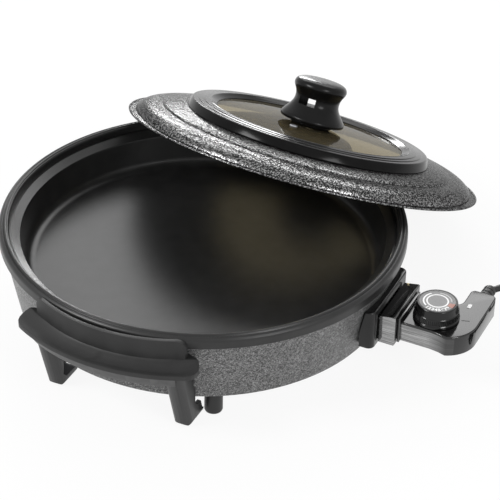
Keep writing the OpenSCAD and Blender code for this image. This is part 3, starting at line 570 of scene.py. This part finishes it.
def brushed_face(name, centre_mm, dark, light):
    """A metal with fine rings round one centre."""
    material, tree, shader = finish(name, 0.34, 0.75)
    place = tree.nodes.new("ShaderNodeTexCoord")
    centred = tree.nodes.new("ShaderNodeMapping")
    centred.inputs["Scale"].default_value = (ENLARGED, ENLARGED, ENLARGED)
    centred.inputs["Location"].default_value = [-ENLARGED * v * MM for v in centre_mm]
    rings = tree.nodes.new("ShaderNodeTexGradient")
    rings.gradient_type = "SPHERICAL"
    tree.links.new(place.outputs["Object"], centred.inputs["Vector"])
    tree.links.new(centred.outputs["Vector"], rings.inputs["Vector"])
    fine = tree.nodes.new("ShaderNodeTexNoise")
    fine.noise_dimensions = "1D"
    fine.inputs["Scale"].default_value = 160
    fine.inputs["Detail"].default_value = 3
    tree.links.new(rings.outputs["Fac"], fine.inputs["W"])
    colour = ramp(tree, fine.outputs["Fac"], [(0.35, dark), (0.65, light)])
    tree.links.new(colour, shader.inputs["Base Color"])
    relief(tree, shader, fine.outputs["Fac"], 0.00002)
    return material


dial_metal = brushed_face("dial_face_metal", (DIAL_X, 0, DIAL_TOP), grey(0.10), grey(0.17))
print("brushed in rings:", dial_metal.name)

# %% [markdown]
# ### Smoked glass
# The window is toughened glass with a brown-olive tint. A glass shader lets the floor and the rim
# of the pan show through it, darker and warmer.

# %% Smoked glass
window_glass, tree, shader = finish("smoked_glass", 0.03, 0.0, Transmission_Weight=0.86, IOR=1.06)
tint = ramp(tree, noise(tree, 12), [(0.3, (0.23, 0.195, 0.12)), (0.7, (0.27, 0.23, 0.14))])
tree.links.new(tint, shader.inputs["Base Color"])
print("glass:", window_glass.name)

# %% [markdown]
# ### Finishes on the construction
# Each piece of the construction gets its finish first. Some are later replaced by finer pieces,
# which wear the same finish, and the others are seen as they are.

# %% Which piece of the construction wears which finish
WEARS = {
    "pan": coating, "outer_skirt": skirt_paint, "base_plate": zinc, "heat_shield": zinc,
    "shield_spacers": zinc, "base_feet": handle_plastic, "base_screws": screw_steel,
    "heating_element": sheath_steel, "element_clips": zinc, "clip_screws": screw_steel,
    "terminal_plate": zinc, "pin_bushes": ceramic, "socket_shroud": deep_black,
    "shroud_screws": screw_steel, "front_handle": handle_plastic, "rear_handle": handle_plastic,
    "handle_washers": zinc, "handle_screws": screw_steel, "lid_dome": lid_paint,
    "lid_glass": window_glass, "glass_gasket": gasket_grey, "glass_ring": satin_black,
    "vent_eyelet": zinc, "knob_collar": knob_black, "knob": knob_black, "knob_washer": gasket_grey,
    "knob_screw": screw_steel, "plug_nose": plug_black, "pin_sockets": brass, "probe": zinc,
    "housing_base": housing_black, "housing_cover": housing_black, "housing_screws": screw_steel,
    "thermostat_block": ceramic, "bimetal_strip": copper, "contact_springs": brass,
    "pilot_lamp": white_lens, "indicator_lens": white_lens, "dial_knob": deep_black,
    "dial_plate": dial_metal, "dial_spindle": zinc, "cord_boot": soft_black,
    "cord_tie": tie_white, "plug_body": soft_black, "plug_pins": zinc,
    "cord_run": lead_black, "cord_coil": lead_black, "cord_tail": lead_black,
}

for node_name, material in WEARS.items():
    wear(nodes[node_name], material)
print("dressed nodes:", len(WEARS), "of", len(nodes))

# %% [markdown]
# ## The lead itself
# The points become one smooth curve with a round section, which replaces the construction's
# plain tubes and ring.

# %% Lead
def make_lead():
    """The route as one curve with a round section and closed ends."""
    curve = bpy.data.curves.new("mains_lead", "CURVE")
    curve.dimensions = "3D"
    curve.bevel_depth = CORD_D / 2 * MM
    curve.bevel_resolution = 4
    curve.use_fill_caps = True
    spline = curve.splines.new("POLY")
    spline.points.add(len(lead_points) - 1)
    for point, place in zip(spline.points, lead_points):
        point.co = (*place, 1.0)
    spline.use_smooth = True
    lead = bpy.data.objects.new("mains_lead", curve)
    scene.collection.objects.link(lead)
    curve.materials.append(lead_black)
    made.append(lead.name)
    return lead


lead = make_lead()
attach(lead, "thermostat")
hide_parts("cord_run", "cord_coil", "cord_tail")
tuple(lead_points[0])
print("lead made,", len(lead_points), "points")

# %% [markdown]
# ## Handles
# Each handle is one moulding: an upright guard, a dished grip, an apron and two posts. Moulded
# plastic has no sharp corner, because the mould is machined with a round tool. The handle starts
# from the outline of the construction. The feet of the posts get a wide rounding first, and then
# every edge that a hand can reach gets a small one.

# %% Handles
SKIRT_R, UNDER_SKIRT, POST_FOOT = 193.0, -36, -61.5


def in_reach(middle, along):
    """Outside the skirt or under it."""
    return math.hypot(middle.x, middle.y) > SKIRT_R or middle.z < UNDER_SKIRT


def foot_of_post(middle, along):
    """At the foot of a post, just above the table."""
    return middle.z < POST_FOOT


for node_name, piece_name in (("front_handle", "handle_front"), ("rear_handle", "handle_rear")):
    moulded(node_name, piece_name, handle_plastic, 1.3, in_reach, first=(3.2, foot_of_post, 4))

# %% [markdown]
# ## Lid
# The lid is pressed from sheet and leans on the pan's rear edge. It is modelled flat, as it would
# be turned on a lathe: a chain of points is spun round the axis, and the finished shell is tilted
# into its place. The brim ends in a rolled bead, which keeps the sheet's edge from cutting.

# %% Place of the propped lid
LID_AT, LID_HEADING, LID_TILT = Vector((24.4, 194.3, 28.9)), math.radians(80.3), math.radians(24.4)
LID_PLACE = (Matrix.Translation(LID_AT * MM) @ Matrix.Rotation(LID_HEADING, 4, "Z")
             @ Matrix.Rotation(LID_TILT, 4, "Y"))


def prop(piece):
    """Tilts a piece that was modelled flat into the propped lid's place."""
    piece.matrix_world = LID_PLACE
    return settle(piece)


def ellipse_arc(centre, half_width, half_height, start, end, steps):
    """A chain of points along an ellipse, from one angle to another in degrees."""
    points = []
    for i in range(steps + 1):
        angle = math.radians(start + (end - start) * i / steps)
        points.append((centre[0] + half_width * math.cos(angle),
                       centre[1] + half_height * math.sin(angle)))
    return points


# %% Lid shell
LID_R, SHEET, LID_STEPS = 198.0, 1.0, 220


def lid_skin(t):
    """Outer side of the shell for t = 0 and its inner side for t = the sheet's thickness."""
    wall = ellipse_arc((LID_R - 32, 0.6), 24 - t, 13 - t, 3, 88, 16)
    return wall + [(162.9 - t / 2, 14.25 - t), (162.2 - t / 2, 15.5 - t), (160.4 - t / 2, 16.5 - t),
                   (136, 20.1 - t), (121, 22.5 - t), (118.6 - t / 2, 22.7 - t),
                   (118.2 - t / 2, 21.2 - t)]


bead = ellipse_arc((LID_R - 1.25, 0.35), 1.25, 1.15, -90, 165, 12)
shell = lathe("lid_shell", [(LID_R - 7.5, -0.8)] + bead + [(LID_R - 6, 0.8)] + lid_skin(0)
              + [(107, 21.2), (107, 20.2)] + lid_skin(SHEET)[::-1] + [(LID_R - 7.5, -0.8)],
              LID_STEPS)
wear(smooth(prop(shell), 30), lid_paint)
adopt(shell, "lid_dome")
print("lid shell:", len(shell.data.polygons), "faces")

# %% [markdown]
# ## Ring round the glass
# A moulded ring clamps the glass. Its top rises in low terraces, whose edges show as fine bright
# and dark lines, so each terrace is a real step with a small rounding.

# %% Glass ring
GLASS_EDGE, GLASS_CROWN, GLASS_R = 27.0, 4.0, 113.0
RING_R, RING_TOP, STEP, RISE = 137.0, 29.95, 5.8, 0.8
TERRACES = 2


def glass_height(r):
    """Height of the domed glass at one radius."""
    sphere = (GLASS_R * GLASS_R + GLASS_CROWN * GLASS_CROWN) / (2 * GLASS_CROWN)
    return GLASS_EDGE + GLASS_CROWN - sphere + math.sqrt(sphere * sphere - r * r)


terraces = []
for i in range(TERRACES):
    edge_r = RING_R - 4.1 - STEP * (i + 1)
    terraces += [(edge_r, RING_TOP + RISE * i), (edge_r - 0.5, RING_TOP + RISE * (i + 1))]
under_and_outside = [(105, glass_height(105) + 0.1), (114.5, 27.1), (114.5, 21.3), (117.6, 21.3),
                     (119, 22.8), (RING_R - 0.3, 20.2), (RING_R - 0.6, 21.5), (RING_R - 3.0, 28.2),
                     (RING_R - 3.6, 29.3), (RING_R - 4.8, RING_TOP)]
inner_lip = [(RING_R - 22.9, RING_TOP + 1.6), (RING_R - 23.6, RING_TOP + 2.0),
             (RING_R - 24.8, RING_TOP + 1.6), (RING_R - 26.2, RING_TOP + 0.6),
             (107, glass_height(107) + 1.5), (105, glass_height(105) + 0.5),
             (105, glass_height(105) + 0.1)]
ring = lathe("lid_ring", under_and_outside + terraces + inner_lip, LID_STEPS)
modify(ring, "BEVEL", width=0.22 * MM, segments=2, limit_method="ANGLE",
       angle_limit=math.radians(24))
wear(smooth(prop(ring), 50), satin_black)
adopt(ring, "glass_ring")
print("ring:", len(ring.data.polygons), "faces")

# %% [markdown]
# ## Knob
# The knob is a hollow bell on a slim collar, with a neck that has windows through it to keep the
# cap cool, and a round cap. Its outline is one flowing curve, so a few points are joined by a
# smooth chain before they are spun. The windows are cut through the neck afterwards.

# %% Knob
KNOB_STEPS, CHAIN_STEPS, KNOB_TURN = 144, 4, math.radians(-62)
WINDOWS = (((-19, -40, 53.6), (-1, -1, 62)), ((-9.5, -2, 46.2), (-1, 40, 62)))
bell = [(0, 40.05), (21.5, 40.05), (22.6, 43.6), (24.6, 45.0), (28.9, 41.4), (33.2, 36.5)]
outside = [(34.2, 35.5), (35.2, 35.9), (35.7, 37.2), (35.6, 39.2), (34.6, 41.2), (32.2, 44.3),
           (29.4, 47.9), (27.0, 51.4), (25.4, 54.8), (24.8, 58.2), (24.9, 61.6), (25.5, 64.6),
           (26.8, 67.7), (28.3, 70.4), (29.2, 73.0), (29.2, 75.2), (28.3, 77.6), (26.2, 79.7),
           (22.4, 81.2), (16, 82.1), (8, 82.4), (0, 82.5)]
knob = lathe("knob_moulding", bell + flowing(outside, CHAIN_STEPS), KNOB_STEPS)
for low, high in WINDOWS:
    window = block(low, high)
    window.matrix_world = Matrix.Rotation(KNOB_TURN, 4, "Z")
    carve(knob, settle(window))
wear(smooth(prop(knob), 40), knob_black)
adopt(knob, "knob")
print("knob:", len(knob.data.polygons), "faces")

# %% [markdown]
# ## Socket, plug and housing
# The thermostat plugs into a moulded socket on the skirt. These are polished mouldings, and what
# makes them read as such is the line of light along every rounded edge. The edges are chosen by
# their place: the outer corners get a wide rounding, the inside of the socket none.

# %% Socket and plug
SOCKET_FROM_X, PLUG_FROM_X = 196, 211
MOUTH_HALF_Y, MOUTH_LOW, MOUTH_HIGH = 31, -17.5, 8.5
PIN_Y, PIN_Z, PIN_CLEAR = 19, -9.5, 6


def outside_of_socket(middle, along):
    """Clear of the skirt and outside the socket's mouth."""
    beside = abs(middle.y) > MOUTH_HALF_Y or not MOUTH_LOW < middle.z < MOUTH_HIGH
    return middle.x > SOCKET_FROM_X and beside


def outside_of_plug(middle, along):
    """Outside the socket, and away from the holes of the two pins and of the probe."""
    from_pins = math.hypot(abs(middle.y) - PIN_Y, middle.z - PIN_Z)
    from_probe = math.hypot(middle.y, middle.z - PIN_Z)
    return middle.x > PLUG_FROM_X and min(from_pins, from_probe) > PIN_CLEAR


moulded("socket_shroud", "socket_moulding", deep_black, 1.6, outside_of_socket, segments=4)
moulded("plug_nose", "plug_moulding", plug_black, 0.9, outside_of_plug)

# %% Housing halves
HOUSE_TOP, HOUSE_FOOT = 7.0, -15.0
DIAL_CLEAR, LENS_X, LENS_Y = 6, (279.5, 284.5), (28, 36)
SAME_HEIGHT = 0.05


def outer_rim_at(height):
    """The rim of the housing at one height, without its holes."""
    def wanted(middle, along):
        near_dial = math.hypot(middle.x - DIAL_X, middle.y) < DIAL_CLEAR
        near_lens = LENS_X[0] < middle.x < LENS_X[1] and LENS_Y[0] < middle.y < LENS_Y[1]
        return abs(middle.z - height) < SAME_HEIGHT and not near_dial and not near_lens
    return wanted


moulded("housing_cover", "housing_top", housing_black, 1.5, outer_rim_at(HOUSE_TOP), segments=5)
moulded("housing_base", "housing_bottom", housing_black, 1.0, outer_rim_at(HOUSE_FOOT), segments=4)

# %% [markdown]
# ## Boot of the lead
# The boot keeps the lead from kinking where it leaves the housing. Its ribs are thick rings that
# get thinner outwards, so the rubber bends in one smooth curve.

# %% Boot
BOOT_FROM_Y, LENGTHWISE = 62, 0.9


def rib(middle, along):
    """An edge past the wall of the housing that doesn't run the length of the boot."""
    return middle.y > BOOT_FROM_Y and abs(along.y) < LENGTHWISE


moulded("cord_boot", "lead_boot", soft_black, 0.9, rib)

# %% [markdown]
# ## Dial and its scale
# The dial is turned plastic with a knurl for the fingers. Its face carries a printed scale: a
# dark rim, a ring, arcs that tell how far to turn, a mark for the hottest setting, and the
# numerals 1 to 8. Ink has almost no thickness, so each mark is a thin plate of its own just above
# the face.

# %% Dial body
DIAL_EDGE_R, LEVEL = 18, 0.2


def dial_rim(middle, along):
    """A level edge near the outside of the dial."""
    return abs(along.z) < LEVEL and math.hypot(middle.x - DIAL_X, middle.y) > DIAL_EDGE_R


moulded("dial_knob", "dial_moulding", deep_black, 0.5, dial_rim, segments=2)

# %% Helpers for printed marks
INK = 0.12


def printed(piece, name, material):
    """A mark that turns with the dial."""
    piece.name = piece.data.name = name
    wear(settle(piece), material)
    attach(piece, "dial")
    made.append(name)


def arc_mark(name, inner, outer, start, end, material, steps=48):
    """A flat band round the dial's axis, from one heading to another."""
    piece = single_point(name)
    bpy.ops.transform.translate(value=(inner * MM, 0, 0))
    bpy.ops.mesh.extrude_region_move(TRANSFORM_OT_translate={"value": ((outer - inner) * MM, 0, 0)})
    bpy.ops.mesh.select_all(action="SELECT")
    bpy.ops.mesh.spin(steps=steps, angle=math.radians(start - end), center=(0, 0, 0),
                      axis=(0, 0, 1))
    bpy.ops.mesh.select_all(action="SELECT")
    bpy.ops.mesh.extrude_region_move(TRANSFORM_OT_translate={"value": (0, 0, INK * MM)})
    bpy.ops.object.mode_set(mode="OBJECT")
    outward(piece)
    piece.matrix_world = (Matrix.Translation(Vector((DIAL_X, 0, DIAL_TOP)) * MM)
                          @ Matrix.Rotation(math.radians(start), 4, "Z"))
    printed(piece, name, material)


# %% Rings and arcs of the scale
arc_mark("scale_rim", 17.95, 19.00, 0, 360, ink_black, 96)
arc_mark("scale_ring", 9.7, 11.3, 0, 360, white_print, 96)
arc_mark("scale_arc", 13.0, 14.7, 137, 236, white_print)
arc_mark("scale_groove", 15.9, 16.3, 20, 236, grey_print, 72)
arc_mark("scale_sweep", 13.4, 14.6, 20, 100, pale_print)
arc_mark("scale_hot_mark", 12.0, 18.4, -16, 8, red_print, 16)
print("marks on the dial:", [name for name in made if name.startswith("scale_")])

# %% Numerals of the scale
NUMERALS, NUMERAL_R, NUMERAL_SIZE, NUMERAL_WEIGHT = 8, 15.2, 5.6, 0.26
FIRST_HEADING, HEADING_STEP = -112, 12.4


def numeral(sign, heading):
    """One numeral whose foot points outwards at the given heading."""
    deselect()
    bpy.ops.object.text_add()
    text = bpy.context.object
    text.data.body = sign
    text.data.size = NUMERAL_SIZE * MM
    text.data.align_x = "CENTER"
    text.data.align_y = "CENTER"
    text.data.extrude = INK / 2 * MM
    text.data.offset = NUMERAL_WEIGHT * MM
    bpy.ops.object.convert(target="MESH")
    piece = bpy.context.object
    turn = math.radians(heading)
    spot = Vector((DIAL_X + NUMERAL_R * math.cos(turn), NUMERAL_R * math.sin(turn),
                   DIAL_TOP + INK / 2))
    piece.matrix_world = Matrix.Translation(spot * MM) @ Matrix.Rotation(turn + math.pi / 2, 4, "Z")
    printed(piece, "scale_numeral_" + sign, white_print)


for i in range(NUMERALS):
    numeral(str(i + 1), FIRST_HEADING + HEADING_STEP * i)
print("pieces made so far:", len(made))

# %% [markdown]
# ## Index line on the housing
# A short line moulded into the housing shows where to read the dial. It is a thin raised bar with
# rounded ends.

# %% Index line
INDEX_AT, INDEX_SIZE, INDEX_HEADING = (287, 7, HOUSE_TOP), (8.2, 0.8, 0.4), math.radians(19)

deselect()
bpy.ops.mesh.primitive_cube_add(size=1, location=Vector(INDEX_AT) * MM)
bar = bpy.context.object
bar.name = bar.data.name = "index_line"
bar.scale = Vector(INDEX_SIZE) * MM
bar.rotation_euler.z = INDEX_HEADING
settle(bar)
modify(bar, "BEVEL", width=0.18 * MM, segments=2)
wear(smooth(bar), knob_black)
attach(bar, "thermostat")
made.append(bar.name)
print("pieces made in all:", len(made))

# %% [markdown]
# ## Floor, light and background
# The pan stands on a pale table. A key lamp lights it from the left and a fill lamp from the
# right. A wide lamp behind draws the light edge along the rims, and a low one under it skims
# across the pan. Where the camera, a reflection or the glass sees past the object, the background
# is white.

# %% Helpers for the background
def seen_directly(tree):
    """One for a ray of the camera, of a reflection or through glass, and nought for any other."""
    rays = tree.nodes.new("ShaderNodeLightPath").outputs
    seen = calculated(tree, "MAXIMUM", rays["Is Camera Ray"], rays["Is Glossy Ray"])
    return calculated(tree, "MAXIMUM", seen, rays["Is Transmission Ray"])


def mixed(tree, share, first, second, output):
    """Sends a mix of two shaders to the output."""
    mix = tree.nodes.new("ShaderNodeMixShader")
    tree.links.new(share, mix.inputs["Fac"])
    tree.links.new(first.outputs[0], mix.inputs[1])
    tree.links.new(second.outputs[0], mix.inputs[2])
    tree.links.new(mix.outputs[0], tree.nodes[output].inputs["Surface"])


# %% Floor
TABLE_GAP, TABLE_SIZE = 0.05, 8.0
TABLE_WHITE, TABLE_GLOW = 0.92, 0.90

bpy.ops.mesh.primitive_plane_add(size=TABLE_SIZE, location=(0, 0, (TABLE_Z - TABLE_GAP) * MM))
floor = settle(bpy.context.object)
floor.name = "table"


def table_finish():
    """A dull pale surface that turns nearly white wherever it is seen directly."""
    material = bpy.data.materials.new("pale_table")
    material.use_nodes = True
    tree = material.node_tree
    tree.nodes.remove(tree.nodes["Principled BSDF"])
    diffuse = tree.nodes.new("ShaderNodeBsdfDiffuse")
    diffuse.inputs["Color"].default_value = (*grey(TABLE_WHITE), 1.0)
    glow = tree.nodes.new("ShaderNodeEmission")
    glow.inputs["Strength"].default_value = 1.0
    share = calculated(tree, "MULTIPLY", seen_directly(tree), TABLE_GLOW)
    mixed(tree, share, diffuse, glow, "Material Output")
    return material


wear(floor, table_finish())
print("floor:", floor.name, "with", floor.active_material.name)

# %% World
WORLD_LIGHT, WORLD_SEEN = 0.55, 1.0

scene.world = bpy.data.worlds.new("studio")
scene.world.use_nodes = True
tree = scene.world.node_tree
back = tree.nodes["Background"]
back.inputs["Color"].default_value = (1, 1, 1, 1)
back.inputs["Strength"].default_value = WORLD_LIGHT
white = tree.nodes.new("ShaderNodeBackground")
white.inputs["Strength"].default_value = WORLD_SEEN
mixed(tree, seen_directly(tree), back, white, "World Output")
print("world:", scene.world.name)

# %% Lamps
def lamp(name, place, aim, size, watts):
    """A soft rectangular lamp; the places are in metres."""
    data = bpy.data.lights.new(name, "AREA")
    data.shape = "RECTANGLE"
    data.size, data.size_y = size
    data.energy = watts
    obj = bpy.data.objects.new(name, data)
    scene.collection.objects.link(obj)
    obj.location = place
    obj.rotation_euler = (Vector(aim) - Vector(place)).to_track_quat("-Z", "Y").to_euler()


lamp("key_lamp", (-1.2, -1.3, 1.6), (0, 0, 0), (0.8, 0.55), 26)
lamp("fill_lamp", (1.7, -0.9, 1.2), (0, 0, 0), (0.6, 0.6), 12)
lamp("back_lamp", (-0.55, 1.9, 1.5), (0.1, 0, 0.05), (2.4, 0.9), 22)
lamp("low_lamp", (-0.81, 1.83, 0.27), (0.0, 0.0, 0.1), (0.6, 0.3), 11.0)
print("lamps set")

# %% [markdown]
# ## View transform
# The colours are shown with the standard view transform.

# %% View transform
scene.view_settings.view_transform = "Standard"
